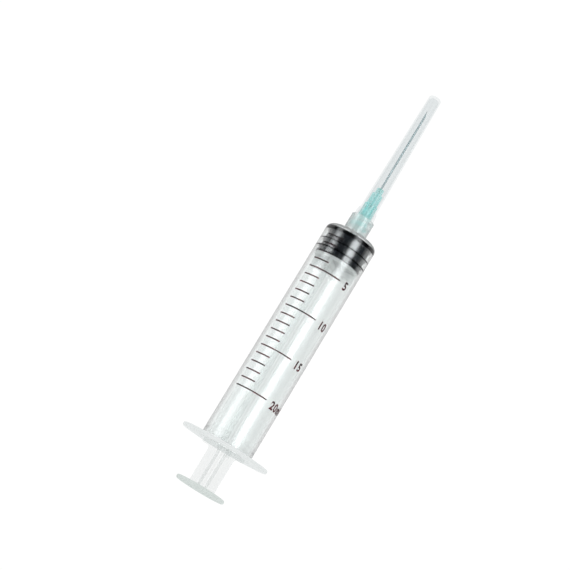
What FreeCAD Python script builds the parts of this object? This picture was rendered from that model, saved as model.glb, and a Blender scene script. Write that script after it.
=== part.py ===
"""A 20 ml luer lock syringe lying on its side, with a fitted needle and its cap.

The axis of the syringe lies along +X and points towards the needle. The origin is under the
middle of the object, on the surface that the finger flange stands on. Millimetres.
"""
import FreeCAD
import Part
import Sketcher

import os

V = FreeCAD.Vector
TINY = 1e-4

# Driving sizes. Every one is a real size in millimetres or degrees, or a count.
SIZES = {
    # Barrel: tube, end wall and shoulder
    "bore_radius": 9.525,
    "barrel_wall": 1.03,
    "barrel_length": 95.0,
    "front_wall": 1.6,
    "shoulder_round": 2.4,
    "inner_corner_chamfer": 0.9,
    "mouth_flare": 0.5,
    "mouth_flare_length": 0.9,
    "bead_height": 0.28,
    "bead_half_width": 0.4,
    "bead_from_flange": 4.6,
    # Finger flange
    "flange_width": 36.2,
    "flange_depth": 26.0,
    "flange_thickness": 1.4,
    "flange_tip_radius": 9.0,
    "flange_side_radius": 8.0,
    "flange_wing_angle": 33.3,
    "flange_edge_chamfer": 0.4,
    "flange_root_chamfer": 0.4,
    # Nozzle and lock collar
    "nozzle_length": 9.9,
    "nozzle_tip_radius": 1.965,
    "luer_taper": 0.03,
    "nozzle_bore_radius": 1.05,
    "collar_length": 7.8,
    "collar_bore_radius": 4.0,
    "collar_wall": 0.75,
    "collar_rim_chamfer": 0.35,
    "collar_root_chamfer": 0.3,
    "thread_lead": 5.0,
    "thread_start": 2.0,
    "thread_depth": 0.5,
    "thread_crest_half": 0.25,
    "thread_root_half": 0.42,
    "thread_end_gap": 0.1,
    "thread_starts": 2,
    # Stopper
    "stopper_length": 10.8,
    "stopper_slide_clearance": 0.05,
    "stopper_seat_gap": 0.1,
    "groove_depth": 0.55,
    "front_rib_width": 1.6,
    "middle_rib_station": 5.2,
    "middle_rib_width": 0.8,
    "third_rib_station": 1.9,
    "third_rib_width": 0.9,
    "rear_rib_width": 0.7,
    "rib_flank": 0.25,
    # Plunger rod
    "thumb_disc_radius": 10.15,
    "thumb_disc_thickness": 1.4,
    "thumb_disc_chamfer": 0.4,
    "thumb_standoff": 16.4,
    "neck_half_width": 5.5,
    "rod_side_clearance": 0.245,
    "rod_rib_thickness": 1.2,
    "rod_shoulder_lead": 1.3,
    "rod_shoulder_round": 1.4,
    "rod_turn": 73.0,
    "support_disc_thickness": 1.5,
    "support_disc_gap": 0.05,
    "head_neck_radius": 3.2,
    "head_neck_length": 1.8,
    "head_radius": 4.9,
    "head_back_length": 0.6,
    "head_nose_length": 3.4,
    "head_nose_radius": 2.6,
    "head_clearance": 0.05,
    # Needle hub
    "hub_lift": 3.1,
    "hub_length": 18.2,
    "hub_socket_clearance": 0.02,
    "hub_socket_depth": 9.0,
    "hub_funnel_length": 0.9,
    "hub_ring_radius": 3.05,
    "hub_ring_length": 2.0,
    "hub_lower_radius": 2.75,
    "hub_lower_end": 5.9,
    "hub_upper_radius": 2.5,
    "hub_upper_end": 10.9,
    "hub_collet_radius": 1.4,
    "hub_fin_radius": 2.15,
    "hub_fin_thickness": 0.7,
    "hub_fin_end": 15.8,
    "hub_fin_count": 4,
    "grip_rib_count": 6,
    "grip_rib_width": 0.7,
    "cap_grip_clearance": 0.07,
    "hub_edge_chamfer": 0.12,
    "lug_tip_clearance": 0.15,
    "lug_crest_half": 0.35,
    "lug_root_half": 0.5,
    "lug_flank_clearance": 0.09,
    "lug_sweep": 105.0,
    # Cannula and its adhesive
    "cannula_radius": 0.4,
    "cannula_bore_radius": 0.26,
    "cannula_exposed": 36.5,
    "cannula_setting": 8.0,
    "cannula_fit_clearance": 0.02,
    "bevel_length": 2.8,
    "side_bevel_length": 1.3,
    "side_bevel_depth": 0.1,
    "side_bevel_turn": 38.0,
    "glue_well_radius": 0.95,
    "glue_well_depth": 1.6,
    "glue_root_depth": 0.5,
    "glue_running_clearance": 0.02,
    # Needle cap
    "cap_mouth_gap": 0.1,
    "cap_length": 56.1,
    "cap_wall": 0.65,
    "cap_tip_wall": 0.5,
    "cap_end_wall": 1.0,
    "cap_step_gap": 0.4,
    "cap_step_length": 0.8,
    "cap_skirt_length": 3.4,
    "cap_skirt_mouth_radius": 4.15,
    "cap_skirt_top_radius": 3.92,
    "cap_skirt_wall": 0.78,
    "cap_body_radius": 3.425,
    "cap_tip_radius": 2.54,
    "cap_tip_chamfer": 0.8,
    "cap_skirt_chamfer": 0.3,
}

# Sizes that follow from the driving ones, as formulas of the same sheet.
FOLLOWING = {
    "barrel_radius": "bore_radius + barrel_wall",
    "shoulder_lead": "shoulder_round * (1 - sin(30deg))",
    "shoulder_drop": "shoulder_round * (1 - cos(30deg))",
    "flange_tip_corner": "flange_width / 2 + flange_tip_radius * (1 / sin(flange_wing_angle * 1deg) - 1)",
    "flange_flat_half": "flange_tip_corner - flange_depth / 2 / tan(flange_wing_angle * 1deg)",
    "nozzle_root_radius": "nozzle_tip_radius + luer_taper * nozzle_length",
    "collar_radius": "collar_bore_radius + collar_wall",
    "thread_crest_radius": "collar_bore_radius - thread_depth",
    "thread_turns": "(collar_length - thread_start - thread_root_half - thread_end_gap) / thread_lead",
    "thread_pitch": "thread_lead / thread_starts",
    "flange_station": "thumb_disc_thickness + thumb_standoff",
    "barrel_end": "flange_station + barrel_length",
    "stopper_radius": "bore_radius - stopper_slide_clearance",
    "groove_radius": "stopper_radius - groove_depth",
    "stopper_front": "barrel_end - front_wall - stopper_seat_gap",
    "stopper_station": "stopper_front - stopper_length",
    "rod_half_width": "bore_radius - bead_height - rod_side_clearance",
    "rod_shoulder_station": "flange_station - rod_shoulder_lead",
    "rod_end": "stopper_station - support_disc_gap",
    "support_disc_station": "rod_end - support_disc_thickness",
    "head_back_station": "rod_end + head_neck_length",
    "head_widest_station": "head_back_station + head_back_length",
    "head_tip_station": "head_widest_station + head_nose_length",
    "socket_neck_end": "head_neck_length - support_disc_gap - head_clearance",
    "socket_back_end": "socket_neck_end + head_back_length",
    "socket_land_end": "head_widest_station - stopper_station + head_clearance",
    "socket_front_end": "head_tip_station - stopper_station + head_clearance",
    "hub_station": "barrel_end + hub_lift",
    "socket_mouth_radius":
        "nozzle_tip_radius + luer_taper * (nozzle_length - hub_lift) + hub_socket_clearance",
    "socket_end_radius": "socket_mouth_radius - luer_taper * hub_socket_depth",
    "hub_bore_radius": "cannula_radius + cannula_fit_clearance",
    "hub_bore_start": "hub_socket_depth + hub_funnel_length",
    "glue_well_station": "hub_length - glue_well_depth",
    "glue_well_slope": "(glue_well_radius - hub_bore_radius) / glue_well_depth",
    "glue_station": "glue_well_station + glue_root_depth",
    "glue_root_radius": "hub_bore_radius + glue_well_slope * glue_root_depth - glue_running_clearance",
    "glue_length": "glue_well_depth - glue_root_depth",
    "lug_radius": "collar_bore_radius - lug_tip_clearance",
    "thread_half_at_lug":
        "thread_crest_half + (thread_root_half - thread_crest_half) * (lug_radius - thread_crest_radius)"
        " / thread_depth",
    "lug_centre":
        "thread_start + thread_pitch - thread_half_at_lug - lug_crest_half - lug_flank_clearance - hub_lift",
    "lug_turns": "lug_sweep / 360",
    "lug_root_radius": "socket_mouth_radius + 0.4 * (hub_lower_radius - socket_mouth_radius)",
    "cannula_start": "hub_length - cannula_setting",
    "cannula_length": "cannula_setting + cannula_exposed",
    "bevel_start": "cannula_length - bevel_length",
    "side_bevel_start": "cannula_length - side_bevel_length",
    "side_bevel_tip": "cannula_radius * cos(side_bevel_turn * 1deg)",
    "cap_station": "barrel_end + collar_length + cap_mouth_gap",
    "cap_end": "cap_station + cap_length",
    "cap_hub_room_radius": "cap_body_radius - cap_wall",
    "cap_needle_room_radius": "cap_tip_radius - cap_tip_wall",
    "cap_step_station": "hub_station + hub_fin_end + cap_step_gap - cap_station",
    "cap_inner_end_station": "cap_length - cap_end_wall",
    "grip_rib_radius": "cap_hub_room_radius - cap_grip_clearance",
    "overall_length": "cap_end",
    "axis_height": "flange_depth / 2",
}

doc = FreeCAD.newDocument("syringe")
sheet = doc.addObject("Spreadsheet::Sheet", "Sizes")


def fill_sheet():
    """One row for each size: its name in column A, its value or formula in column B."""
    rows = [(name, str(value)) for name, value in SIZES.items()]
    rows += [(name, "=" + formula) for name, formula in FOLLOWING.items()]
    for row, (name, content) in enumerate(rows, start=1):
        sheet.set(f"A{row}", name)
        sheet.set(f"B{row}", content)
        sheet.setAlias(f"B{row}", name)
    doc.recompute()


def terms(text):
    """Splits a sum such as 'barrel_length - front_wall' into signed names."""
    sign = 1
    for word in text.split():
        if word == "-":
            sign = -1
        elif word == "+":
            sign = 1
        else:
            yield sign, word


def number(text):
    """The present value of a sum of sizes."""
    return sum(sign * float(sheet.get(name)) for sign, name in terms(text))


def formula(text):
    """The same sum as an expression on the sheet."""
    return " ".join(("- " if sign < 0 else "+ ") + "Sizes." + name for sign, name in terms(text)).lstrip("+ ")


def new_body(name, station, turn=None):
    """An empty body on the syringe's axis, its own origin at the given station from the thumb disc."""
    body = doc.addObject("PartDesign::Body", name)
    body.Label = name
    angle = number(turn) if turn else 0.0
    body.Placement = FreeCAD.Placement(V(0, 0, 0), FreeCAD.Rotation(V(1, 0, 0), angle))
    start = formula(station) + " - " if station else "0 - "
    body.setExpression("Placement.Base.x", start + "Sizes.overall_length / 2")
    body.setExpression("Placement.Base.z", "Sizes.axis_height")
    if turn:
        body.setExpression("Placement.Rotation.Angle", "Sizes." + turn + " * 1deg")
    return body


def plane(body, role):
    return next(item for item in body.Origin.OriginFeatures if item.Role == role)


def sketch_on(body, name, role="XY_Plane"):
    sketch = body.newObject("Sketcher::SketchObject", name)
    sketch.AttachmentSupport = [(plane(body, role), "")]
    sketch.MapMode = "FlatFace"
    return sketch


def hold(sketch, corner, axis, text, mirrored=False):
    """Ties one coordinate of a corner to a sum of sizes, or to the axis where the sum is '0'."""
    if text == "0":
        other_axis = -2 if axis == "X" else -1
        sketch.addConstraint(Sketcher.Constraint("PointOnObject", corner, 1, other_axis))
        return
    value = -number(text) if mirrored else number(text)
    index = sketch.addConstraint(Sketcher.Constraint("Distance" + axis, -1, 1, corner, 1, value))
    expression = "-1 * (" + formula(text) + ")" if mirrored else formula(text)
    sketch.setExpression(f"Constraints[{index}]", expression)


def outline(sketch, corners):
    """A closed outline of straight lines. A coordinate that starts with 'minus' is mirrored."""
    places = []
    for corner in corners:
        place = []
        for text in corner:
            mirrored = text.startswith("minus ")
            text = text.removeprefix("minus ")
            size = 0.0 if text == "0" else number(text)
            place.append((-size if mirrored else size, text, mirrored))
        places.append(place)
    points = [V(x[0], y[0], 0) for x, y in places]
    count = len(points)
    for index, point in enumerate(points):
        sketch.addGeometry(Part.LineSegment(point, points[(index + 1) % count]))
    for index in range(count):
        sketch.addConstraint(Sketcher.Constraint("Coincident", index, 2, (index + 1) % count, 1))
    for index, place in enumerate(places):
        for axis, (_, text, mirrored) in zip("XY", place):
            hold(sketch, index, axis, text, mirrored)


def turned(body, name, corners, cut=False):
    """A full turn of an outline about the syringe's axis, added to the body or cut from it."""
    sketch = sketch_on(body, name + "_outline")
    outline(sketch, corners)
    before = body.Shape.Volume if cut else 0.0
    feature = body.newObject("PartDesign::Groove" if cut else "PartDesign::Revolution", name)
    feature.Profile = sketch
    feature.ReferenceAxis = (sketch, ["H_Axis"])
    feature.Angle = 360
    sketch.Visibility = False
    doc.recompute()
    if cut and not feature.Shape.Volume < before - TINY:
        raise RuntimeError(name + " cuts nothing")
    return feature


def plate(body, name, corners, thickness, role="XY_Plane"):
    """A flat plate through the axis, half its thickness on each side of the sketch."""
    sketch = sketch_on(body, name + "_outline", role)
    outline(sketch, corners)
    feature = body.newObject("PartDesign::Pad", name)
    feature.Profile = sketch
    feature.Midplane = True
    feature.setExpression("Length", "Sizes." + thickness)
    sketch.Visibility = False
    doc.recompute()
    return feature


def helix(body, name, corners, turns):
    """A right-hand ridge with the thread's lead, from the +Y side of the body."""
    sketch = sketch_on(body, name + "_section")
    outline(sketch, corners)
    feature = body.newObject("PartDesign::AdditiveHelix", name)
    feature.Profile = sketch
    feature.ReferenceAxis = (sketch, ["H_Axis"])
    feature.Mode = "pitch-turns-angle"
    feature.setExpression("Pitch", "Sizes.thread_lead")
    feature.setExpression("Turns", "Sizes." + turns)
    sketch.Visibility = False
    doc.recompute()
    return feature, sketch


def repeat_round(body, name, feature, sketch, count):
    """Copies of a feature spaced evenly round the axis."""
    pattern = body.newObject("PartDesign::PolarPattern", name)
    pattern.Originals = [feature]
    pattern.Axis = (sketch, ["H_Axis"])
    pattern.Angle = 360
    pattern.setExpression("Occurrences", "Sizes." + count)
    body.Tip = pattern
    doc.recompute()
    return pattern


def ring_edges(shape, station, radius):
    """Names of the circular edges about the axis at one station and radius."""
    found = []
    for index, edge in enumerate(shape.Edges, start=1):
        curve = edge.Curve
        if not isinstance(curve, Part.Circle):
            continue
        if abs(curve.Radius - radius) < TINY and abs(curve.Center.x - station) < TINY:
            found.append(f"Edge{index}")
    return found


def corner_edges(shape, station, reach, length):
    """Names of the short straight edges across a plate, at one station and distance from the axis."""
    found = []
    for index, edge in enumerate(shape.Edges, start=1):
        middle = edge.CenterOfMass
        aside = max(abs(middle.y), abs(middle.z))
        if abs(edge.Length - length) > TINY or abs(middle.x - station) > TINY:
            continue
        if abs(aside - reach) < TINY and min(abs(middle.y), abs(middle.z)) < TINY:
            found.append(f"Edge{index}")
    return found


def rounded(body, name, edges, radius):
    """A fillet whose radius is one of the sizes."""
    if not edges:
        raise RuntimeError(name + " finds no edge")
    base = body.Tip
    feature = body.newObject("PartDesign::Fillet", name)
    feature.Base = (base, edges)
    feature.setExpression("Radius", "Sizes." + radius)
    base.Visibility = False
    doc.recompute()
    return feature


def bevelled(body, name, edges, size):
    """A chamfer whose size is one of the sizes."""
    if not edges:
        raise RuntimeError(name + " finds no edge")
    base = body.Tip
    feature = body.newObject("PartDesign::Chamfer", name)
    feature.Base = (base, edges)
    feature.setExpression("Size", "Sizes." + size)
    base.Visibility = False
    doc.recompute()
    return feature


def finger_flange(body):
    """The flange plate: six sides with rounded tips and corners, and a rounded rim."""
    sketch = sketch_on(body, "flange_plan", "YZ_Plane")
    outline(sketch, [
        ("flange_flat_half", "axis_height"),
        ("minus flange_flat_half", "axis_height"),
        ("minus flange_tip_corner", "0"),
        ("minus flange_flat_half", "minus axis_height"),
        ("flange_flat_half", "minus axis_height"),
        ("flange_tip_corner", "0"),
    ])
    pad = body.newObject("PartDesign::Pad", "flange_plate")
    pad.Profile = sketch
    pad.setExpression("Length", "Sizes.flange_thickness")
    sketch.Visibility = False
    doc.recompute()
    thickness = number("flange_thickness")
    tip_reach = number("flange_tip_corner")
    tips = []
    sides = []
    for index, edge in enumerate(pad.Shape.Edges, start=1):
        middle = edge.CenterOfMass
        if abs(middle.x - thickness / 2) > TINY:
            continue
        group = tips if abs(abs(middle.y) - tip_reach) < TINY else sides
        group.append(f"Edge{index}")
    rounded(body, "flange_tips", tips, "flange_tip_radius")
    side_points = [pad.Shape.Edges[int(name[4:]) - 1].CenterOfMass for name in sides]
    tipped = body.Tip.Shape
    sides = []
    for index, edge in enumerate(tipped.Edges, start=1):
        if any((edge.CenterOfMass - point).Length < TINY for point in side_points):
            sides.append(f"Edge{index}")
    rounded(body, "flange_sides", sides, "flange_side_radius")
    rim = []
    for index, edge in enumerate(body.Tip.Shape.Edges, start=1):
        box = edge.BoundBox
        if box.XLength < TINY:
            rim.append(f"Edge{index}")
    bevelled(body, "flange_rim", rim, "flange_edge_chamfer")


def barrel():
    """Tube, flange, end wall, nozzle and threaded lock collar in one moulding."""
    body = new_body("barrel", "flange_station")
    finger_flange(body)
    turned(body, "tube", [
        ("0", "0"),
        ("0", "barrel_radius"),
        ("barrel_length - shoulder_round", "barrel_radius"),
        ("barrel_length - shoulder_lead", "barrel_radius - shoulder_drop"),
        ("barrel_length - shoulder_drop", "barrel_radius - shoulder_lead"),
        ("barrel_length", "barrel_radius - shoulder_round"),
        ("barrel_length", "collar_radius"),
        ("barrel_length + collar_length", "collar_radius"),
        ("barrel_length + collar_length", "collar_bore_radius"),
        ("barrel_length", "collar_bore_radius"),
        ("barrel_length", "nozzle_root_radius"),
        ("barrel_length + nozzle_length", "nozzle_tip_radius"),
        ("barrel_length + nozzle_length", "0"),
    ])
    turned(body, "bore", [
        ("0", "0"),
        ("0", "bore_radius + mouth_flare"),
        ("mouth_flare_length", "bore_radius"),
        ("bead_from_flange - bead_half_width", "bore_radius"),
        ("bead_from_flange", "bore_radius - bead_height"),
        ("bead_from_flange + bead_half_width", "bore_radius"),
        ("barrel_length - front_wall", "bore_radius"),
        ("barrel_length - front_wall", "nozzle_bore_radius"),
        ("barrel_length + nozzle_length", "nozzle_bore_radius"),
        ("barrel_length + nozzle_length", "0"),
    ], cut=True)
    length = number("barrel_length")
    inner_end = number("barrel_length - front_wall")
    bevelled(body, "inner_corner", ring_edges(body.Tip.Shape, inner_end, number("bore_radius")),
             "inner_corner_chamfer")
    flange_face = number("flange_thickness")
    bevelled(body, "flange_root", ring_edges(body.Tip.Shape, flange_face, number("barrel_radius")),
             "flange_root_chamfer")
    bevelled(body, "collar_root", ring_edges(body.Tip.Shape, length, number("collar_radius")),
             "collar_root_chamfer")
    rim = number("barrel_length + collar_length")
    bevelled(body, "collar_rim", ring_edges(body.Tip.Shape, rim, number("collar_radius")), "collar_rim_chamfer")
    start = "barrel_length + thread_start"
    ridge, section = helix(body, "thread", [
        (start + " - thread_root_half", "collar_bore_radius + thread_end_gap"),
        (start + " - thread_root_half", "collar_bore_radius"),
        (start + " - thread_crest_half", "thread_crest_radius"),
        (start + " + thread_crest_half", "thread_crest_radius"),
        (start + " + thread_root_half", "collar_bore_radius"),
        (start + " + thread_root_half", "collar_bore_radius + thread_end_gap"),
    ], "thread_turns")
    repeat_round(body, "thread_starts", ridge, section, "thread_starts")
    return body


def plunger_rod():
    """Thumb disc, cross-ribbed shaft, support disc and the head that snaps into the stopper."""
    body = new_body("plunger_rod", "", "rod_turn")
    rib_corners = [
        ("thumb_disc_thickness", "neck_half_width"),
        ("rod_shoulder_station", "neck_half_width"),
        ("rod_shoulder_station", "rod_half_width"),
        ("support_disc_station", "rod_half_width"),
        ("support_disc_station", "minus rod_half_width"),
        ("rod_shoulder_station", "minus rod_half_width"),
        ("rod_shoulder_station", "minus neck_half_width"),
        ("thumb_disc_thickness", "minus neck_half_width"),
    ]
    plate(body, "flat_rib", rib_corners, "rod_rib_thickness", "XY_Plane")
    plate(body, "upright_rib", rib_corners, "rod_rib_thickness", "XZ_Plane")
    station = number("rod_shoulder_station")
    thickness = number("rod_rib_thickness")
    inner = corner_edges(body.Tip.Shape, station, number("neck_half_width"), thickness)
    rounded(body, "rib_shoulders", inner, "rod_shoulder_round")
    turned(body, "thumb_disc", [
        ("0", "0"),
        ("0", "thumb_disc_radius"),
        ("thumb_disc_thickness", "thumb_disc_radius"),
        ("thumb_disc_thickness", "0"),
    ])
    turned(body, "support_and_head", [
        ("support_disc_station", "0"),
        ("support_disc_station", "rod_half_width"),
        ("rod_end", "rod_half_width"),
        ("rod_end", "head_neck_radius"),
        ("head_back_station", "head_neck_radius"),
        ("head_widest_station", "head_radius"),
        ("head_tip_station", "head_nose_radius"),
        ("head_tip_station", "0"),
    ])
    disc_radius = number("thumb_disc_radius")
    rims = ring_edges(body.Tip.Shape, 0.0, disc_radius)
    rims += ring_edges(body.Tip.Shape, number("thumb_disc_thickness"), disc_radius)
    bevelled(body, "thumb_disc_rim", rims, "thumb_disc_chamfer")
    return body


def stopper():
    """Rubber stopper: sealing ribs outside, shallow nose cone, undercut socket for the rod's head."""
    body = new_body("stopper", "stopper_station")

    def rib(start, end):
        return [
            (start, "groove_radius"),
            (start + " + rib_flank", "stopper_radius"),
            (end + " - rib_flank", "stopper_radius"),
            (end, "groove_radius"),
        ]

    corners = [("0", "0"), ("0", "stopper_radius"), ("rear_rib_width", "stopper_radius"),
               ("rear_rib_width + rib_flank", "groove_radius")]
    corners += rib("third_rib_station", "third_rib_station + third_rib_width")
    corners += rib("middle_rib_station", "middle_rib_station + middle_rib_width")
    corners += [
        ("stopper_length - front_rib_width - rib_flank", "groove_radius"),
        ("stopper_length - front_rib_width", "stopper_radius"),
        ("stopper_length", "stopper_radius"),
        ("stopper_length", "0"),
    ]
    turned(body, "outside", corners)
    front = ring_edges(body.Tip.Shape, number("stopper_length"), number("stopper_radius"))
    bevelled(body, "front_edge", front, "inner_corner_chamfer")
    turned(body, "socket", [
        ("0", "0"),
        ("0", "head_neck_radius + head_clearance"),
        ("socket_neck_end", "head_neck_radius + head_clearance"),
        ("socket_back_end", "head_radius + head_clearance"),
        ("socket_land_end", "head_radius + head_clearance"),
        ("socket_front_end", "head_nose_radius + head_clearance"),
        ("socket_front_end", "0"),
    ], cut=True)
    return body


def needle_hub():
    """Needle hub: tapered socket, two thread lugs, grip ribs, fins and collet."""
    body = new_body("needle_hub", "hub_station")
    turned(body, "hub_outside", [
        ("0", "0"),
        ("0", "hub_ring_radius"),
        ("hub_ring_length", "hub_ring_radius"),
        ("hub_ring_length", "hub_lower_radius"),
        ("hub_lower_end", "hub_lower_radius"),
        ("hub_lower_end", "hub_upper_radius"),
        ("hub_upper_end", "hub_upper_radius"),
        ("hub_upper_end", "hub_collet_radius"),
        ("hub_length", "hub_collet_radius"),
        ("hub_length", "0"),
    ])
    lower = ring_edges(body.Tip.Shape, number("hub_lower_end"), number("hub_lower_radius"))
    upper = ring_edges(body.Tip.Shape, number("hub_upper_end"), number("hub_upper_radius"))
    top = ring_edges(body.Tip.Shape, number("hub_length"), number("hub_collet_radius"))
    bevelled(body, "hub_edges", lower + upper + top, "hub_edge_chamfer")
    grip_sketch = sketch_on(body, "grip_rib_outline")
    outline(grip_sketch, [
        ("hub_lower_end - hub_edge_chamfer", "socket_mouth_radius"),
        ("hub_lower_end - hub_edge_chamfer", "grip_rib_radius"),
        ("hub_upper_end - hub_edge_chamfer", "grip_rib_radius"),
        ("hub_upper_end", "hub_upper_radius - hub_edge_chamfer"),
        ("hub_upper_end", "socket_mouth_radius"),
    ])
    grip = body.newObject("PartDesign::Pad", "grip_rib")
    grip.Profile = grip_sketch
    grip.Midplane = True
    grip.setExpression("Length", "Sizes.grip_rib_width")
    doc.recompute()
    repeat_round(body, "grip_ribs", grip, grip_sketch, "grip_rib_count")
    fin_sketch = sketch_on(body, "fin_outline")
    outline(fin_sketch, [
        ("hub_upper_end - hub_edge_chamfer", "cannula_radius"),
        ("hub_upper_end - hub_edge_chamfer", "hub_fin_radius"),
        ("hub_fin_end - hub_edge_chamfer", "hub_fin_radius"),
        ("hub_fin_end", "hub_collet_radius"),
        ("hub_fin_end", "cannula_radius"),
    ])
    fin = body.newObject("PartDesign::Pad", "fin")
    fin.Profile = fin_sketch
    fin.Midplane = True
    fin.setExpression("Length", "Sizes.hub_fin_thickness")
    doc.recompute()
    repeat_round(body, "fins", fin, fin_sketch, "hub_fin_count")
    turned(body, "luer_socket", [
        ("0", "0"),
        ("0", "socket_mouth_radius"),
        ("hub_socket_depth", "socket_end_radius"),
        ("hub_bore_start", "hub_bore_radius"),
        ("glue_well_station", "hub_bore_radius"),
        ("hub_length", "glue_well_radius"),
        ("hub_length", "0"),
    ], cut=True)
    lug, section = helix(body, "lug", [
        ("lug_centre - lug_root_half", "lug_root_radius"),
        ("lug_centre - lug_crest_half", "lug_radius"),
        ("lug_centre + lug_crest_half", "lug_radius"),
        ("lug_centre + lug_root_half", "lug_root_radius"),
    ], "lug_turns")
    repeat_round(body, "lugs", lug, section, "thread_starts")
    return body


def ground(body, name, corners, side=0):
    """One flat ground on the point of the cannula, turned about its axis to one side."""
    sketch = sketch_on(body, name + "_outline")
    turn = FreeCAD.Rotation(V(1, 0, 0), side * number("side_bevel_turn"))
    sketch.AttachmentOffset = FreeCAD.Placement(V(0, 0, 0), turn)
    if side:
        sketch.setExpression("AttachmentOffset.Rotation.Angle", f"{side} * Sizes.side_bevel_turn * 1deg")
    outline(sketch, corners)
    before = body.Shape.Volume
    feature = body.newObject("PartDesign::Pocket", name)
    feature.Profile = sketch
    feature.Midplane = True
    feature.setExpression("Length", "4 * Sizes.cannula_radius")
    sketch.Visibility = False
    doc.recompute()
    if not feature.Shape.Volume < before - TINY:
        raise RuntimeError(name + " cuts nothing")


def cannula():
    """Steel tube with a lancet point: one long bevel and two short side bevels."""
    body = new_body("cannula", "hub_station + cannula_start")
    turned(body, "tube_wall", [
        ("0", "cannula_bore_radius"),
        ("0", "cannula_radius"),
        ("cannula_length", "cannula_radius"),
        ("cannula_length", "cannula_bore_radius"),
    ])
    ground(body, "bevel", [
        ("bevel_start", "minus cannula_radius"),
        ("cannula_length", "cannula_radius"),
        ("cannula_length + cannula_radius", "cannula_radius"),
        ("cannula_length + cannula_radius", "minus cannula_radius"),
    ])
    side_corners = [
        ("side_bevel_start", "minus side_bevel_depth"),
        ("cannula_length", "side_bevel_tip"),
        ("cannula_length + cannula_radius", "side_bevel_tip"),
        ("cannula_length + cannula_radius", "minus cannula_radius"),
        ("side_bevel_start", "minus cannula_radius"),
    ]
    ground(body, "left_side_bevel", side_corners, 1)
    ground(body, "right_side_bevel", side_corners, -1)
    return body


def needle_glue():
    """The plug of adhesive round the cannula, in the well at the top of the hub."""
    body = new_body("needle_glue", "hub_station + glue_station")
    turned(body, "plug", [
        ("0", "cannula_radius + glue_running_clearance"),
        ("0", "glue_root_radius"),
        ("glue_length", "glue_well_radius - glue_running_clearance"),
        ("glue_length", "cannula_radius + glue_running_clearance"),
    ])
    return body


def needle_cap():
    """Clear sheath: stepped skirt, long drafted body, and a bore that narrows beyond the hub's fins."""
    body = new_body("needle_cap", "cap_station")
    turned(body, "sheath", [
        ("0", "cap_skirt_mouth_radius - cap_skirt_wall"),
        ("0", "cap_skirt_mouth_radius"),
        ("cap_skirt_length", "cap_skirt_top_radius"),
        ("cap_skirt_length", "cap_body_radius"),
        ("cap_length", "cap_tip_radius"),
        ("cap_length", "0"),
        ("cap_inner_end_station", "0"),
        ("cap_inner_end_station", "cap_needle_room_radius"),
        ("cap_step_station + cap_step_length", "cap_needle_room_radius"),
        ("cap_step_station", "cap_hub_room_radius"),
        ("cap_skirt_length", "cap_hub_room_radius"),
        ("cap_skirt_length - cap_wall", "cap_skirt_top_radius - cap_skirt_wall"),
    ])
    tip = ring_edges(body.Tip.Shape, number("cap_length"), number("cap_tip_radius"))
    bevelled(body, "tip_edge", tip, "cap_tip_chamfer")
    skirt = ring_edges(body.Tip.Shape, number("cap_skirt_length"), number("cap_skirt_top_radius"))
    bevelled(body, "skirt_edge", skirt, "cap_skirt_chamfer")
    return body


def check(bodies):
    """Stops before anything is written if an object failed or a piece is not one sound solid."""
    failed = [item.Name for item in doc.Objects if "Invalid" in item.State or "Error" in item.State]
    if failed:
        raise RuntimeError("failed objects: " + ", ".join(failed))
    for body in bodies:
        shape = body.Shape
        if shape.isNull() or not shape.isValid() or len(shape.Solids) != 1:
            raise RuntimeError(body.Label + " is not one valid solid")


fill_sheet()
pieces = [barrel(), plunger_rod(), stopper(), needle_hub(), cannula(), needle_glue(), needle_cap()]
doc.recompute()
check(pieces)
os.makedirs("parts", exist_ok=True)
for piece in pieces:
    piece.Shape.exportStep(os.path.join("parts", piece.Label + ".step"))
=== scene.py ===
"""Looks of the syringe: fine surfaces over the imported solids, ink scale, materials, light and camera."""
import bmesh
import bpy
import math
from mathutils import Matrix, Vector


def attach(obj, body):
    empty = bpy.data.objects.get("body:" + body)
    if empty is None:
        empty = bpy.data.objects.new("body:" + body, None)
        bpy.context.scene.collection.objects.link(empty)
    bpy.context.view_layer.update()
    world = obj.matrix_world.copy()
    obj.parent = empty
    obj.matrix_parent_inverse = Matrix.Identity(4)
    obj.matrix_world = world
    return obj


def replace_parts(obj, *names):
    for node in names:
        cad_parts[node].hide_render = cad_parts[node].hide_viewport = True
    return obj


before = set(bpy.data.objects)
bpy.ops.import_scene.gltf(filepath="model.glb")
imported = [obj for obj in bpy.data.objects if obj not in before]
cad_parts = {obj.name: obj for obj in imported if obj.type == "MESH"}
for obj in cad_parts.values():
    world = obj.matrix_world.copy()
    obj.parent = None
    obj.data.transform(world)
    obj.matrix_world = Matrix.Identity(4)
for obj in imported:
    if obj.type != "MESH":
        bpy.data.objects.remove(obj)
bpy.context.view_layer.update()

MM = 0.001
# Segments round the large turned pieces, and the angle from which an edge stays sharp
ROUND = 192
SHARP = math.radians(32.0)

# Height of the axis, then places along it and half widths across it, in millimetres of the row frame
AXIS_Z = 13.0
FLANGE_BACK, FLANGE_FRONT = -70.6, -69.2
BORE_END, BARREL_END, COLLAR_RIM, NOZZLE_TIP = 22.8, 24.4, 32.2, 34.3
BORE, BARREL, COLLAR, COLLAR_BORE, NOZZLE_BORE = 9.525, 10.555, 4.75, 4.0, 1.05
NOZZLE_ROOT, NOZZLE_END = 2.262, 1.965
DISC_BACK, DISC_FRONT, DISC = -88.4, -87.0, 10.15
ROD_SHOULDER, SUPPORT_BACK, ROD_END, HEAD_END = -71.9, 10.35, 11.85, 17.65
ROD_NECK, ROD_RIB, SUPPORT, ROD_TURN = 5.5, 9.0, 9.0, 73
STOPPER_BACK, STOPPER_FRONT = 11.9, 22.7
HUB_BACK = 27.5
CAP_MOUTH, CAP_END = 32.3, 88.4

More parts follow.
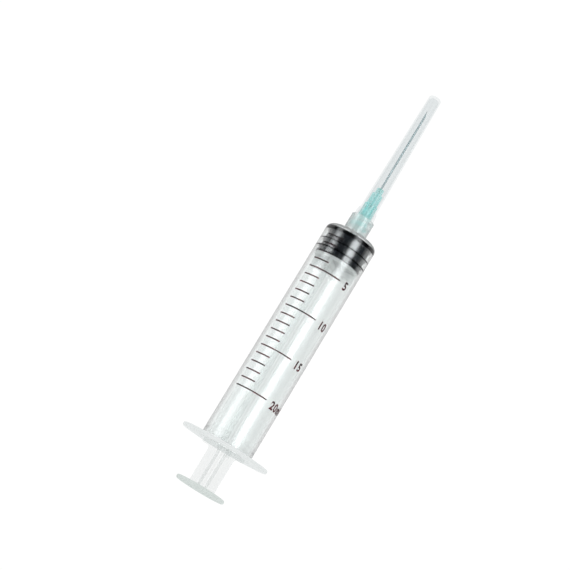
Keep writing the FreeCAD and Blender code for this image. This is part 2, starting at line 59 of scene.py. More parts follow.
# Thread of the lock collar and lugs of the hub. LUG_BEHIND is the way from a lug's middle to the next ridge's
THREAD_LEAD, THREAD_START = 5.0, 2.0
THREAD_CREST, THREAD_ROOT_HALF, THREAD_CREST_HALF, THREAD_END_GAP = 3.5, 0.42, 0.25, 0.1
LUG_ROOT, LUG_CREST, LUG_ROOT_HALF, LUG_CREST_HALF = 2.6, 3.85, 0.5, 0.35
LUG_BEHIND, LUG_SWEEP = 0.84, math.radians(105)

# Printed scale: place of the zero line and length of one millilitre
ZERO_LINE, MILLILITRE = 22.3, 3.5085

# Refractive index of the moulded plastics
PLASTIC_IOR = 1.49


# Shapes
def spot(x, radius, turn):
    """A point at an angle from +Y about the axis, in metres."""
    return (x * MM, radius * math.cos(turn) * MM, (AXIS_Z + radius * math.sin(turn)) * MM)


def soften(corners, steps=5):
    """A profile of (x, r, round) corners with each corner rounded by an arc of that radius."""
    points = []
    count = len(corners)
    for index, (x, r, size) in enumerate(corners):
        here = Vector((x, r))
        if size <= 0 or index in (0, count - 1):
            points.append((x, r))
            continue
        before = Vector(corners[index - 1][:2]) - here
        after = Vector(corners[index + 1][:2]) - here
        half = before.angle(after) / 2
        back = min(size / math.tan(half), before.length * 0.9, after.length * 0.9)
        size = back * math.tan(half)
        start, end = here + before.normalized() * back, here + after.normalized() * back
        middle = here + (before.normalized() + after.normalized()).normalized() * (size / math.sin(half))
        a, b = start - middle, end - middle
        sweep = a.angle_signed(b)
        for step in range(steps + 1):
            angle = -sweep * step / steps
            turned = Vector((a.x * math.cos(angle) - a.y * math.sin(angle),
                             a.x * math.sin(angle) + a.y * math.cos(angle)))
            points.append(tuple(middle + turned))
    return points


def mesh_object(name, vertices, faces):
    """A smooth piece with sharp edges kept, and flat faces that shade flat."""
    mesh = bpy.data.meshes.new(name)
    mesh.from_pydata(vertices, [], faces)
    mesh.validate()
    work = bmesh.new()
    work.from_mesh(mesh)
    bmesh.ops.remove_doubles(work, verts=work.verts, dist=1e-7)
    bmesh.ops.recalc_face_normals(work, faces=work.faces)
    work.to_mesh(mesh)
    work.free()
    mesh.update()
    mesh.shade_smooth()
    mesh.set_sharp_from_angle(angle=SHARP)
    made = bpy.data.objects.new(name, mesh)
    bpy.context.scene.collection.objects.link(made)
    flat = made.modifiers.new("flat_faces", "WEIGHTED_NORMAL")
    flat.keep_sharp = True
    flat.weight = 100
    return made


def lathe(profile, segments=ROUND, closed=True):
    """Vertices and faces of a turned shape. A profile radius may be a function of the angle."""
    vertices, faces, rows = [], [], []
    for x, r in profile:
        if not callable(r) and abs(r) < 1e-6:
            rows.append([len(vertices)])
            vertices.append(spot(x, 0.0, 0.0))
            continue
        rows.append(list(range(len(vertices), len(vertices) + segments)))
        for step in range(segments):
            turn = 2 * math.pi * step / segments
            vertices.append(spot(x, r(turn) if callable(r) else r, turn))
    pairs = list(zip(rows, rows[1:])) + ([(rows[-1], rows[0])] if closed else [])
    for one, two in pairs:
        for step in range(segments):
            a, b = one[step % len(one)], one[(step + 1) % len(one)]
            c, d = two[(step + 1) % len(two)], two[step % len(two)]
            corners = list(dict.fromkeys((a, b, c, d)))
            if len(corners) > 2:
                faces.append(corners)
    return vertices, faces


def joined(*parts):
    """Several (vertices, faces) pairs as one."""
    vertices, faces = [], []
    for some, theirs in parts:
        start = len(vertices)
        vertices += some
        faces += [[start + index for index in face] for face in theirs]
    return vertices, faces


def skinned(rings):
    """Vertices and faces of a solid through closed rings of points, with a face at each end."""
    size = len(rings[0])
    vertices = [point for ring in rings for point in ring]
    faces = []
    for row in range(0, (len(rings) - 1) * size, size):
        for step in range(size):
            after = (step + 1) % size
            faces.append([row + step, row + after, row + size + after, row + size + step])
    faces.append(list(range(size))[::-1])
    faces.append([(len(rings) - 1) * size + step for step in range(size)])
    return vertices, faces


def swept(stations, section):
    """A closed section of (y, z) points carried along X. The section may change with x."""
    return skinned([[(x * MM, y * MM, (AXIS_Z + z) * MM) for y, z in section(x)] for x in stations])


def slab(outline, half, turn):
    """A flat plate through the axis: an (x, r) outline, half its thickness on each side."""
    rings = []
    for side in (-half, half):
        rings.append([(x * MM, (r * math.cos(turn) - side * math.sin(turn)) * MM,
                       (AXIS_Z + r * math.sin(turn) + side * math.cos(turn)) * MM) for x, r in outline])
    return skinned(rings)


def ridge(section, start_x, start_turn, sweep, steps):
    """A right-hand ridge of the lock thread with a section of (x, r) points."""
    rings = []
    for step in range(steps + 1):
        turn = sweep * step / steps
        rings.append([spot(start_x + x + THREAD_LEAD * turn / (2 * math.pi), r, start_turn + turn)
                      for x, r in section])
    return skinned(rings)


# Nodes
def add(tree, kind, **settings):
    """A new node with its properties and inputs set. An underscore in a name stands for a space."""
    node = tree.nodes.new(kind)
    for key, value in settings.items():
        if hasattr(node, key):
            setattr(node, key, value)
        else:
            node.inputs[key.replace("_", " ")].default_value = value
    return node


def feed(tree, term, socket):
    """Links an input to another node's output, or sets it to a constant."""
    if isinstance(term, bpy.types.NodeSocket):
        tree.links.new(term, socket)
    else:
        socket.default_value = term


def reckon(tree, operation, *terms):
    """The result of a math node."""
    node = add(tree, "ShaderNodeMath", operation=operation)
    for socket, term in zip(node.inputs, terms):
        feed(tree, term, socket)
    return node.outputs[0]


def mixed(tree, share, one, two):
    """Mixes two shaders by the share of the second."""
    node = add(tree, "ShaderNodeMixShader")
    for socket, term in zip(node.inputs, (share, one, two)):
        feed(tree, term, socket)
    return node.outputs[0]


def blend(tree, share, one, two):
    """Mixes two colours by the share of the second."""
    node = add(tree, "ShaderNodeMix", data_type="RGBA")
    for name, term in (("Factor", share), ("A", one), ("B", two)):
        feed(tree, term, node.inputs[name])
    return node.outputs["Result"]


def noise(tree, scale, detail, stretch=(1.0, 1.0, 1.0)):
    """Noise laid on the piece's own coordinates in metres."""
    place = add(tree, "ShaderNodeTexCoord")
    mapping = add(tree, "ShaderNodeMapping", Scale=stretch)
    made = add(tree, "ShaderNodeTexNoise", Scale=scale, Detail=detail)
    tree.links.new(place.outputs["Object"], mapping.inputs["Vector"])
    tree.links.new(mapping.outputs["Vector"], made.inputs["Vector"])
    return made.outputs["Fac"]


def ramp(tree, source, low, high, start=0.3, end=0.7):
    """Maps a factor to a range of numbers or colours."""
    if isinstance(low, float):
        node = add(tree, "ShaderNodeMapRange", From_Min=start, From_Max=end, To_Min=low, To_Max=high)
        tree.links.new(source, node.inputs["Value"])
        return node.outputs["Result"]
    node = add(tree, "ShaderNodeValToRGB")
    for element, place, colour in zip(node.color_ramp.elements, (start, end), (low, high)):
        element.position = place
        element.color = (*colour, 1)
    tree.links.new(source, node.inputs["Fac"])
    return node.outputs["Color"]


def bump(tree, source, height):
    """The normal of a skin with this height of relief in metres."""
    node = add(tree, "ShaderNodeBump", Strength=1.0, Distance=height)
    tree.links.new(source, node.inputs["Height"])
    return node.outputs["Normal"]


def axis_place(tree):
    """Where a point lies along the syringe's axis, in metres."""
    place = add(tree, "ShaderNodeTexCoord")
    parts = add(tree, "ShaderNodeSeparateXYZ")
    tree.links.new(place.outputs["Object"], parts.inputs["Vector"])
    return parts.outputs["X"]


def surface(name):
    """A new material, its empty node tree, and the input that takes its shader."""
    material = bpy.data.materials.new(name)
    material.use_nodes = True
    tree = material.node_tree
    tree.nodes.clear()
    return material, tree, add(tree, "ShaderNodeOutputMaterial").inputs["Surface"]


# Moulded plastics
def frosted(tree, scatter, frost):
    """Raises the share of scatter where the plastic is thick or matt: (first x, last x, share, fade) each."""
    for first, last, share, fade in frost:
        aside = reckon(tree, "ABSOLUTE", reckon(tree, "SUBTRACT", axis_place(tree), (first + last) / 2 * MM))
        half = (last - first) / 2
        window = ramp(tree, aside, share, 0.0, half * MM, (half + fade) * MM)
        scatter = reckon(tree, "MAXIMUM", scatter, window)
    return scatter


def dulled(tree, shine, scatter):
    """The share of gloss left where the plastic scatters light."""
    return reckon(tree, "MULTIPLY", reckon(tree, "SUBTRACT", 1.0, scatter), shine)


def moulded(tree, tint_low, tint_high, haze, frost, grain, wave):
    """Tint, share of scatter, and the normal of a faintly rippled skin."""
    cloud = noise(tree, grain, 3.0, (0.4, 1.0, 1.0))
    ripple = noise(tree, 90.0, 1.0, (0.25, 1.0, 1.0))
    scatter = frosted(tree, ramp(tree, cloud, haze * 0.9, haze * 1.1), frost)
    return ramp(tree, cloud, tint_low, tint_high), scatter, bump(tree, ripple, wave)


def milky(tree, colour, normal):
    """Scatters half of the light back and half of it through."""
    back = add(tree, "ShaderNodeBsdfDiffuse")
    through = add(tree, "ShaderNodeBsdfTranslucent")
    feed(tree, colour, back.inputs["Color"])
    feed(tree, colour, through.inputs["Color"])
    tree.links.new(normal, back.inputs["Normal"])
    return mixed(tree, 0.5, back.outputs[0], through.outputs[0])


def straight_on(tree, tint):
    """Light that passes without a bend."""
    clear = add(tree, "ShaderNodeBsdfTransparent")
    tree.links.new(tint, clear.inputs["Color"])
    return clear.outputs[0]


def glossy(tree, rough, normal):
    """Light thrown back by the skin, blurred by its roughness."""
    gloss = add(tree, "ShaderNodeBsdfGlossy", Roughness=rough)
    tree.links.new(normal, gloss.inputs["Normal"])
    return gloss.outputs[0]


def lets_light_by(tree, whole, clear):
    """Passes light straight on to a lit surface and away from one, which leaves less grain."""
    path = add(tree, "ShaderNodeLightPath")
    lit = reckon(tree, "MAXIMUM", path.outputs["Is Shadow Ray"], path.outputs["Is Diffuse Ray"])
    return mixed(tree, lit, whole, clear)


def see_through(name, tint_low, tint_high, body, haze, rough, frost=(), ior=PLASTIC_IOR, shine=0.45,
                grain=45.0, disc=None):
    """Plastic that passes light straight on, scatters a share of it, and shines most at its edges.

    The rod's thumb disc may scatter in a darker colour, which is painted shade on the disc's broad faces.
    """
    material, tree, output = surface(name)
    tint, scatter, normal = moulded(tree, tint_low, tint_high, haze, frost, grain, 0.000003)
    colour = (*body, 1)
    # Painted shade: the thumb disc and its rim take the darker disc colour, fading to the body colour just
    # past its front face
    if disc:
        off_disc_shade = ramp(tree, axis_place(tree), 0.0, 1.0, (DISC_FRONT + 0.5) * MM, (DISC_FRONT + 1.5) * MM)
        colour = blend(tree, off_disc_shade, (*disc, 1), colour)
    clear = straight_on(tree, tint)
    inside = mixed(tree, scatter, clear, milky(tree, colour, normal))
    edge = add(tree, "ShaderNodeLayerWeight", Blend=0.5)
    tree.links.new(normal, edge.inputs["Normal"])
    fifth = reckon(tree, "POWER", edge.outputs["Facing"], 5.0)
    mirror = reckon(tree, "MULTIPLY_ADD", fifth, shine, ((ior - 1) / (ior + 1)) ** 2)
    whole = mixed(tree, dulled(tree, mirror, scatter), inside, glossy(tree, rough, normal))
    tree.links.new(lets_light_by(tree, whole, clear), output)
    return material


def glassy(name, tint_low, tint_high, body, haze, rough, frost):
    """Plastic that bends light: refraction and gloss by Fresnel, with a little scatter."""
    material, tree, output = surface(name)
    tint, scatter, normal = moulded(tree, tint_low, tint_high, haze, frost, 45.0, 0.000001)
    bent = add(tree, "ShaderNodeBsdfRefraction", IOR=PLASTIC_IOR, Roughness=rough)
    tree.links.new(tint, bent.inputs["Color"])
    fresnel = add(tree, "ShaderNodeFresnel", IOR=PLASTIC_IOR)
    for node in (bent, fresnel):
        tree.links.new(normal, node.inputs["Normal"])
    inside = mixed(tree, scatter, bent.outputs[0], milky(tree, (*body, 1), normal))
    gloss = glossy(tree, rough * 2.9, normal)
    whole = mixed(tree, dulled(tree, fresnel.outputs[0], scatter), inside, gloss)
    tree.links.new(lets_light_by(tree, whole, straight_on(tree, tint)), output)
    return material


# Opaque materials
def opaque(tree, colour, rough, normal, **settings):
    """An opaque skin whose colour, roughness and normal are constants or outputs of nodes."""
    skin = add(tree, "ShaderNodeBsdfPrincipled", **settings)
    for name, term in (("Base Color", colour), ("Roughness", rough), ("Normal", normal)):
        feed(tree, term, skin.inputs[name])
    return skin


def drawn_steel():
    """Steel with fine lines along the tube."""
    material, tree, output = surface("drawn_steel")
    along = (0.04, 1.0, 1.0)
    grain = noise(tree, 900.0, 5.0, along)
    fine = noise(tree, 5400.0, 2.0, along)
    colour = ramp(tree, grain, (0.34, 0.40, 0.41), (0.44, 0.49, 0.50))
    skin = opaque(tree, colour, ramp(tree, fine, 0.45, 0.6), bump(tree, fine, 0.0000002), Metallic=0.5)
    tree.links.new(skin.outputs[0], output)
    return material


def pressed_rubber():
    """Slate-black oiled rubber that turns dead black where its ribs are pressed on the wall."""
    material, tree, output = surface("oiled_black_rubber")
    grain = noise(tree, 260.0, 5.0, (3.0, 1.0, 1.0))
    fine = noise(tree, 1500.0, 3.0)
    place = add(tree, "ShaderNodeTexCoord")
    across = add(tree, "ShaderNodeMapping", Scale=(0.0, 1.0, 1.0), Location=(0.0, 0.0, -AXIS_Z * MM))
    reach = add(tree, "ShaderNodeVectorMath", operation="LENGTH")
    tree.links.new(place.outputs["Object"], across.inputs["Vector"])
    tree.links.new(across.outputs["Vector"], reach.inputs[0])
    free = ramp(tree, reach.outputs["Value"], 1.0, 0.0, (BORE - 0.04) * MM, (BORE + 0.01) * MM)
    slate = ramp(tree, grain, (0.004, 0.006, 0.009), (0.010, 0.013, 0.017))
    colour = blend(tree, free, (0.0008, 0.0008, 0.001, 1), slate)
    skin = opaque(tree, colour, ramp(tree, fine, 0.12, 0.24), bump(tree, fine, 0.000004))
    tree.links.new(reckon(tree, "MULTIPLY", free, 0.5), skin.inputs["Specular IOR Level"])
    tree.links.new(skin.outputs[0], output)
    return material


def stained_ink():
    """Black ink, thin enough in places to let a little dark red through from behind."""
    material, tree, output = surface("maroon_black_ink")
    grain = noise(tree, 420.0, 5.0)
    skin = opaque(tree, (0.003, 0.003, 0.0035, 1), ramp(tree, grain, 0.5, 0.75), bump(tree, grain, 0.000004),
                  Specular_IOR_Level=0.25)
    red = ramp(tree, grain, (0.010, 0.003, 0.003), (0.14, 0.019, 0.028), 0.32, 0.62)
    both = add(tree, "ShaderNodeAddShader")
    tree.links.new(skin.outputs[0], both.inputs[0])
    tree.links.new(straight_on(tree, red), both.inputs[1])
    tree.links.new(both.outputs[0], output)
    return material


def wear(piece, material):
    """Gives a piece its one material."""
    piece.data.materials.append(material)


clear_barrel = glassy(
    "clear_barrel_plastic", (0.966, 0.976, 0.974), (0.976, 0.984, 0.982), (0.90, 0.915, 0.915),
    haze=0.001, rough=0.06, frost=[
        (FLANGE_BACK - 0.2, FLANGE_FRONT - 0.1, 0.95, 0.2),
        (FLANGE_BACK - 0.2, FLANGE_FRONT + 0.1, 0.10, 5.0),
        (BARREL_END - 1.3, BARREL_END - 0.1, 0.45, 0.3),
        (BARREL_END - 1.0, NOZZLE_TIP + 1.7, 0.28, 1.0)])
natural_rod = see_through(
    "natural_rod_plastic", (0.957, 0.963, 0.961), (0.966, 0.972, 0.970), (0.87, 0.895, 0.89),
    # disc is the thumb disc's darker colour, painted shade on its faces
    haze=0.06, rough=0.30, disc=(0.735, 0.78, 0.76), frost=[
        (DISC_BACK - 0.2, DISC_FRONT + 0.1, 0.98, 0.3), (SUPPORT_BACK - 1.75, HEAD_END + 0.35, 0.85, 3.0)])
clear_cap = see_through(
    "clear_cap_plastic", (0.922, 0.933, 0.935), (0.930, 0.940, 0.942), (0.80, 0.82, 0.82),
    haze=0.01, rough=0.28, ior=1.15, shine=0.12)
teal_hub = see_through(
    "teal_hub_plastic", (0.78, 0.968, 0.963), (0.97, 0.998, 0.996), (0.64, 0.99, 0.975),
    haze=0.26, rough=0.25, ior=1.35, shine=0.25, grain=260.0, frost=[
        (HUB_BACK + 10.7, HUB_BACK + 18.5, 0.5, 1.0)])
resin = see_through(
    "cured_resin", (0.94, 0.96, 0.93), (0.98, 0.99, 0.97), (0.5, 0.5, 0.45), haze=0.1, rough=0.05)
rubber = pressed_rubber()
steel = drawn_steel()
ink = stained_ink()


# Barrel
def flange_reach():
    """The flange's outline as a radius for each angle: six sides with rounded corners."""
    width, depth, tip, side, wing = 36.2, 26.0, 9.0, 8.0, math.radians(33.3)
    corner = width / 2 + tip * (1 / math.sin(wing) - 1)
    flat = corner - depth / 2 / math.tan(wing)
    ring = [(flat, depth / 2, side), (-flat, depth / 2, side), (-corner, 0, tip),
            (-flat, -depth / 2, side), (flat, -depth / 2, side), (corner, 0, tip)]
    dense = soften(ring[-1:] + ring + ring[:1], 40)[1:-1]
    polar = sorted((math.atan2(z, y) % (2 * math.pi), math.hypot(y, z)) for y, z in dense)
    polar = [(polar[-1][0] - 2 * math.pi, polar[-1][1])] + polar + [(polar[0][0] + 2 * math.pi, polar[0][1])]

    def reach(turn):
        turn %= 2 * math.pi
        for (a, ra), (b, rb) in zip(polar, polar[1:]):
            if a <= turn <= b:
                ya, za, yb, zb = ra * math.cos(a), ra * math.sin(a), rb * math.cos(b), rb * math.sin(b)
                across = (yb - ya) * math.sin(turn) - (zb - za) * math.cos(turn)
                return ra if abs(across) < 1e-9 else (za * (yb - ya) - ya * (zb - za)) / across
        return polar[0][1]
    return reach


def barrel():
    """Tube, flange, shoulder, end wall, nozzle, and the lock collar with its double-start thread."""
    reach = flange_reach()
    rounding = 0.45
    bead_front, bead, bead_back, flare_end = -64.8, -66.0, -67.2, -69.7
    bead_crest, mouth = BORE - 0.16, BORE + 0.5
    # Half widths at which the turned skins meet on the flange's two faces and on the nozzle's end
    back_join, front_join, nozzle_join = 11.4, 12.4, 1.3
    edge = []
    for step in range(7):
        angle = math.pi / 2 * step / 6
        edge.append((FLANGE_BACK + rounding * (1 - math.cos(angle)), rounding * (1 - math.sin(angle))))
    edge += [(FLANGE_BACK + FLANGE_FRONT - x, inset) for x, inset in reversed(edge)]
    flange = [(x, lambda turn, cut=inset: reach(turn) - cut) for x, inset in edge]
    inside = soften([
        (NOZZLE_TIP, NOZZLE_BORE, 0), (BORE_END, NOZZLE_BORE, 0.1), (BORE_END, BORE, 1.1),
        (bead_front, BORE, 6.0), (bead, bead_crest, 2.5), (bead_back, BORE, 6.0),
        (flare_end, BORE, 0.6), (FLANGE_BACK, mouth, 0.2), (FLANGE_BACK, back_join, 0)])
    outside = soften([
        (FLANGE_FRONT, front_join, 0), (FLANGE_FRONT, BARREL, 0.5), (BARREL_END, BARREL, 2.4),
        (BARREL_END, COLLAR, 0.4), (COLLAR_RIM, COLLAR, 0.35), (COLLAR_RIM, COLLAR_BORE, 0.15),
        (BARREL_END, COLLAR_BORE, 0.3), (BARREL_END, NOZZLE_ROOT, 0.3), (NOZZLE_TIP, NOZZLE_END, 0.2),
        (NOZZLE_TIP, nozzle_join, 0)], 8)
    body = lathe(inside + flange + outside)
    sunk = COLLAR_BORE + 0.05
    thread = [(-THREAD_ROOT_HALF, sunk), (-THREAD_CREST_HALF, THREAD_CREST),
              (THREAD_CREST_HALF, THREAD_CREST), (THREAD_ROOT_HALF, sunk)]
    length = COLLAR_RIM - BARREL_END - THREAD_START - THREAD_ROOT_HALF - THREAD_END_GAP
    sweep = 2 * math.pi * length / THREAD_LEAD
    starts = [ridge(thread, BARREL_END + THREAD_START, turn, sweep, 72) for turn in (0, math.pi)]
    made = mesh_object("barrel_moulding", *joined(body, *starts))
    wear(made, clear_barrel)
    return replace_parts(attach(made, "barrel"), "barrel")


# Plunger rod and stopper
def cross(arm):
    """A plus-shaped section with rounded inner corners and arm ends, turned as the rod is."""
    half, hollow, steps = 0.6, 0.5, 4
    points = []
    for quarter in range(4):
        angle = math.radians(ROD_TURN + 90 * quarter)
        local = [(arm - 0.25, -half), (arm - 0.07, -half + 0.07), (arm, -half + 0.25), (arm, half - 0.25),
                 (arm - 0.07, half - 0.07), (arm - 0.25, half)]
        for step in range(steps + 1):
            bend = math.pi / 2 * step / steps
            local.append((half + hollow - hollow * math.sin(bend), half + hollow - hollow * math.cos(bend)))
        for along, aside in local:
            points.append((along * math.cos(angle) - aside * math.sin(angle),
                           along * math.sin(angle) + aside * math.cos(angle)))
    return points


def plunger_rod():
    """Thumb disc, cross-ribbed shaft, support disc and the head that snaps into the stopper."""
    rounding, widening = 1.4, 60
    start = ROD_SHOULDER - rounding
    neck, head, nose, head_back, head_widest = 3.2, 4.9, 2.6, 13.65, 14.25

    def arm(x):
        """The ribs' half width: the neck, a rounded shoulder, then a step to full width."""
        if x <= start:
            return ROD_NECK
        if x < ROD_SHOULDER:
            return ROD_NECK + rounding - math.sqrt(max(0.0, rounding ** 2 - (x - start) ** 2))
        return min(ROD_RIB, ROD_NECK + rounding + (x - ROD_SHOULDER) * widening)
    stations = [DISC_FRONT - 0.3, start]
    stations += [start + rounding * math.sin(math.pi / 2 * step / 6) for step in range(1, 7)]
    stations += [ROD_SHOULDER + 0.015, ROD_SHOULDER + 0.035, ROD_SHOULDER + 0.06, SUPPORT_BACK + 0.1]
    shaft = swept(stations, lambda x: cross(arm(x)))
    disc = lathe(soften([
        (DISC_BACK, 0, 0), (DISC_BACK, DISC, 0.5), (DISC_FRONT, DISC, 0.5),
        (DISC_FRONT, 0, 0)]), closed=False)
    support = lathe(soften([
        (SUPPORT_BACK, 0, 0), (SUPPORT_BACK, SUPPORT, 0.3), (ROD_END, SUPPORT, 0.3), (ROD_END, neck, 0.2),
        (head_back, neck, 0.2), (head_widest, head, 0.2), (HEAD_END, nose, 0.3),
        (HEAD_END, 0, 0)]), closed=False)
    made = mesh_object("plunger_rod_moulding", *joined(shaft, disc, support))
    wear(made, natural_rod)
    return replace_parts(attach(made, "plunger_rod"), "plunger_rod")


def stopper():
    """Rubber with ribs that reach a little into the barrel's wall, and a socket for the rod's head."""
    pressed, easy, low = BORE + 0.035, BORE - 0.05, 8.925
    neck, head, nose, neck_end, land_back, land_front, socket_end = 3.25, 4.95, 2.65, 13.6, 14.2, 14.3, 17.7
    corners = [(STOPPER_BACK, neck, 0), (STOPPER_BACK, easy, 0.25), (STOPPER_BACK + 0.7, easy, 0.2),
               (STOPPER_BACK + 0.95, low, 0.15)]
    for start, width in ((1.9, 0.9), (5.2, 0.8)):
        x = STOPPER_BACK + start
        corners += [(x, low, 0.15), (x + 0.2, pressed, 0.08), (x + width - 0.2, pressed, 0.08),
                    (x + width, low, 0.15)]
    corners += [(STOPPER_FRONT - 1.8, low, 0.15), (STOPPER_FRONT - 1.3, pressed, 0.1),
                (STOPPER_FRONT - 0.15, pressed, 0.1), (STOPPER_FRONT, pressed - 0.7, 0.3),
                (STOPPER_FRONT, 0, 0)]
    socket = [(socket_end, 0, 0), (socket_end, nose, 0.2), (land_front, head, 0.2), (land_back, head, 0.05),
              (neck_end, neck, 0.1), (STOPPER_BACK, neck, 0)]
    made = mesh_object("stopper_rubber_body", *lathe(soften(corners) + soften(socket)))
    wear(made, rubber)
    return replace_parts(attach(made, "stopper"), "stopper")


# Needle hub and cap
def needle_hub():
    """Tapered socket, six grip ribs, four fins, collet and two lugs for the collar's thread."""
    x = HUB_BACK
    foot, lower, upper, collet, bore, bore_end = 3.05, 2.75, 2.5, 1.4, 0.42, 0.45
    foot_top, lower_end, upper_end, length = x + 2.0, x + 5.9, x + 10.9, x + 18.2
    taper, seat, socket_depth = 0.03, 0.02, 9.0
    mouth = NOZZLE_END + taper * (NOZZLE_TIP - HUB_BACK) + seat
    parts = [lathe(soften([
        (length, bore_end, 0), (length, collet, 0.25), (upper_end, collet, 0.3), (upper_end, upper, 0.2),
        (lower_end, upper, 0.1), (lower_end, lower, 0.15), (foot_top, lower, 0.2), (foot_top, foot, 0.15),
        (x, foot, 0.2), (x, mouth, 0.1), (x + socket_depth, mouth - taper * socket_depth, 0.2),
        (x + 9.9, bore, 0.1), (x + 16.6, bore, 0), (length, bore_end, 0)]), 96)]
    rib = soften([(x + 5.8, 2.3, 0), (x + 5.8, 2.7, 0.1), (x + 10.8, 2.7, 0.3), (x + 11.0, 2.3, 0)])
    parts += [slab(rib, 0.33, math.radians(60 * step)) for step in range(6)]
    fin = soften([(x + 10.8, 1.3, 0), (x + 10.8, 2.15, 0.1), (x + 15.7, 2.15, 0.5), (x + 15.9, 1.3, 0)])
    parts += [slab(fin, 0.34, math.radians(90 * step)) for step in range(4)]
    lug = [(-LUG_ROOT_HALF, LUG_ROOT), (-LUG_CREST_HALF, LUG_CREST), (LUG_CREST_HALF, LUG_CREST),
           (LUG_ROOT_HALF, LUG_ROOT)]
    first = BARREL_END + THREAD_START + THREAD_LEAD / 2 - LUG_BEHIND
    parts += [ridge(lug, first, turn, LUG_SWEEP, 40) for turn in (0, math.pi)]
    made = mesh_object("needle_hub_moulding", *joined(*parts))
    wear(made, teal_hub)
    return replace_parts(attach(made, "needle_hub"), "needle_hub")


def needle_cap():
    """Hollow sheath with a stepped skirt at its mouth."""
    mouth, skirt, skirt_top, body, tip = 3.37, 4.15, 3.92, 3.425, 2.54
    skirt_end, end_wall = CAP_MOUTH + 3.4, CAP_END - 1.0
    skin = soften([
        (CAP_MOUTH, mouth, 0), (CAP_MOUTH, skirt, 0.25), (skirt_end, skirt_top, 0.35), (skirt_end, body, 0.3),
        (CAP_END, tip, 1.0), (CAP_END, 0, 0)], 8)
    core = soften([
        (end_wall, 0, 0), (end_wall, tip - 0.5, 0.9), (skirt_end, 2.8, 0.3), (CAP_MOUTH + 2.75, 3.14, 0.3),
        (CAP_MOUTH, mouth, 0)], 8)
    made = mesh_object("needle_cap_sheath", *lathe(skin + core, 128))
    wear(made, clear_cap)
    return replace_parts(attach(made, "needle_cap"), "needle_cap")


# Printed scale
def on_barrel(x, turn):
    """A point just over the barrel's outside; the angle is from the top towards -Y."""
    lift = 0.02
    return spot(x, BARREL + lift, math.pi / 2 + turn)


def mark(x, low, high):
    """A printed line round part of the barrel."""
    width = 0.5
    vertices, faces = [], []
    steps = max(6, int(abs(high - low) / math.radians(2.5)))
    for step in range(steps + 1):
        turn = low + (high - low) * step / steps
        vertices += [on_barrel(x - width / 2, turn), on_barrel(x + width / 2, turn)]
    for a in range(0, 2 * steps, 2):
        faces.append([a, a + 1, a + 3, a + 2])
    return vertices, faces


def label(text, x, turn):
    """Digits that read round the barrel, wrapped on its surface."""
    height, capital_share, squeeze, swell = 3.2, 0.70, 0.86, 0.05
    curve = bpy.data.curves.new("digits", "FONT")
    curve.body = text
    curve.size = height / capital_share
    curve.space_character = 1.12
    curve.offset = height * swell
    curve.resolution_u = 3
    flat = bpy.data.objects.new("digits", curve)
    bpy.context.scene.collection.objects.link(flat)
    bpy.context.view_layer.update()
    mesh = bpy.data.meshes.new_from_object(flat)
    top = max(v.co.y for v in mesh.vertices)
    start = min(v.co.x for v in mesh.vertices)
    vertices = [on_barrel(x + v.co.y - top / 2, turn + (v.co.x - start) * squeeze / BARREL)
                for v in mesh.vertices]
    faces = [list(face.vertices) for face in mesh.polygons]
    bpy.data.objects.remove(flat)
    bpy.data.meshes.remove(mesh)
    return vertices, faces


def scale_print():
    """Twenty marks, every fifth one longer, and four labels. The marks creep round the barrel a little."""
    near_end, short_end, long_end, creep, label_shift = -53.3, -15.5, 24.0, 0.21, 0.4
    parts = []
    for count in range(1, 21):
        drift = creep * (count - 10)
        far_end = short_end if count % 5 else long_end
        parts.append(mark(ZERO_LINE - MILLILITRE * count,
                          math.radians(near_end - drift), math.radians(far_end - drift)))
    for count, text, turn in ((5, "5", 39.0), (10, "10", 39.0), (15, "15", 38.0), (20, "20ml", 35.5)):
        parts.append(label(text, ZERO_LINE - MILLILITRE * count - label_shift, math.radians(turn)))
    made = mesh_object("scale_print", *joined(*parts))
    wear(made, ink)
    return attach(made, "barrel")


barrel()
plunger_rod()
stopper()
needle_hub()
needle_cap()
scale_print()
for name, material in (("cannula", steel), ("needle_glue", resin)):
    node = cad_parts[name]
    for index in range(len(node.data.materials)):
        node.data.materials[index] = material
    if not node.data.materials:
        node.data.materials.append(material)


# Floor, light and camera
def floor():
    """A plain bright floor that isn't sampled as a lamp."""
    mesh = bpy.data.meshes.new("floor")
    mesh.from_pydata([(-2, -2, 0), (2, -2, 0), (2, 2, 0), (-2, 2, 0)], [], [[0, 1, 2, 3]])
    made = bpy.data.objects.new("floor", mesh)
    bpy.context.scene.collection.objects.link(made)
    material, tree, output = surface("pale_floor")
    glow = add(tree, "ShaderNodeEmission", Color=(1, 1, 1, 1), Strength=1.03)
    tree.links.new(glow.outputs[0], output)
    mesh.materials.append(material)
    material.cycles.emission_sampling = "NONE"


def strip_light(name, lean, half_width, radiance, distance):
    """A long light over the syringe. Its lean is from the vertical, towards -Y where positive."""
    middle, length, tint = 0.15, 1.6, (0.95, 0.985, 1.0)
    width = 2 * distance * math.tan(math.radians(half_width))
    data = bpy.data.lights.new(name, "AREA")
    data.shape, data.size, data.size_y = "RECTANGLE", length, width
    data.energy = radiance * math.pi * length * width
    data.color = tint
    lamp = bpy.data.objects.new(name, data)
    bpy.context.scene.collection.objects.link(lamp)
    turn = math.radians(lean)
    place = Vector((middle, -distance * math.sin(turn), distance * math.cos(turn)))
    back = (place - Vector((middle, 0, AXIS_Z * MM))).normalized()
    side = Vector((1, 0, 0))
    lamp.matrix_world = (Matrix.Translation(place)
                         @ Matrix((side, back.cross(side), back)).transposed().to_4x4())
    lamp.visible_camera = False
    lamp.visible_diffuse = False


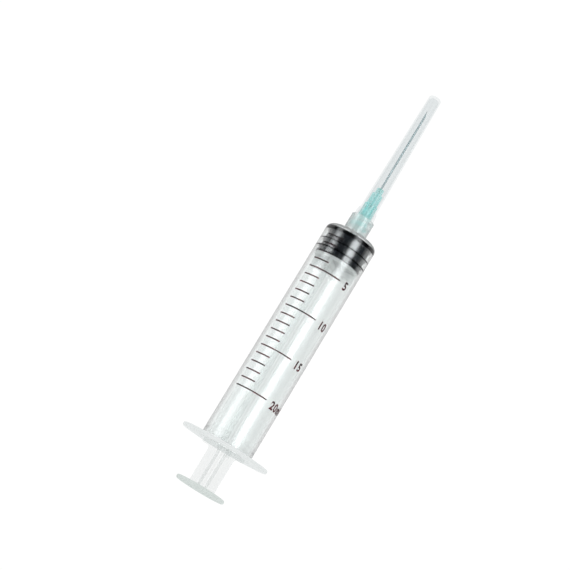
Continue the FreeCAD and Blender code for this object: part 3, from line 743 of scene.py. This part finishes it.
def soft_strip(name, lean, half_width, radiance):
    """Three strips of different width over one another, so that the edges fade."""
    for step, (spread, share) in enumerate(((1.3, 0.3), (1.0, 0.35), (0.7, 0.35))):
        strip_light(f"{name}_{step}", lean, half_width * spread, radiance * share, 0.9 - 0.01 * step)


def studio_world():
    """A dark room in reflections, a little lighter towards the horizon, that lights matt surfaces evenly."""
    world = bpy.data.worlds.new("studio")
    world.use_nodes = True
    tree = world.node_tree
    place = add(tree, "ShaderNodeTexCoord")
    parts = add(tree, "ShaderNodeSeparateXYZ")
    path = add(tree, "ShaderNodeLightPath")
    tree.links.new(place.outputs["Generated"], parts.inputs["Vector"])
    room = ramp(tree, parts.outputs["Z"], (0.08, 0.082, 0.086), (0.02, 0.022, 0.026), 0.0, 0.12)
    seen = blend(tree, path.outputs["Is Diffuse Ray"], room, (0.86, 0.87, 0.87, 1))
    tree.links.new(seen, tree.nodes["Background"].inputs["Color"])
    bpy.context.scene.world = world


def photo_camera():
    """The photograph's view."""
    focal_pixels, picture_pixels = 1785, 570
    place = Vector((-0.1335, 0.0, 0.675))
    ahead = Vector((0.19328, 0.01871, -1.0)).normalized()
    roll = 0.54653
    lens = bpy.data.cameras.new("camera")
    lens.sensor_width = 36.0
    lens.lens = lens.sensor_width * focal_pixels / picture_pixels
    camera = bpy.data.objects.new("camera", lens)
    bpy.context.scene.collection.objects.link(camera)
    along = (Vector((1, 0, 0)) - ahead.x * ahead).normalized()
    up = along * math.cos(roll) - ahead.cross(along) * math.sin(roll)
    camera.matrix_world = (Matrix.Translation(place)
                           @ Matrix((ahead.cross(up), up, -ahead)).transposed().to_4x4())
    bpy.context.scene.camera = camera


floor()
soft_strip("strip_right", lean=28.5, half_width=14.5, radiance=7.4)
soft_strip("strip_left", lean=-58.5, half_width=13.5, radiance=4.4)
studio_world()
photo_camera()
bpy.context.scene.view_settings.view_transform = "Standard"
cycles = bpy.context.scene.cycles
cycles.max_bounces = 32
cycles.glossy_bounces = 24
cycles.transmission_bounces = 32
cycles.transparent_max_bounces = 64
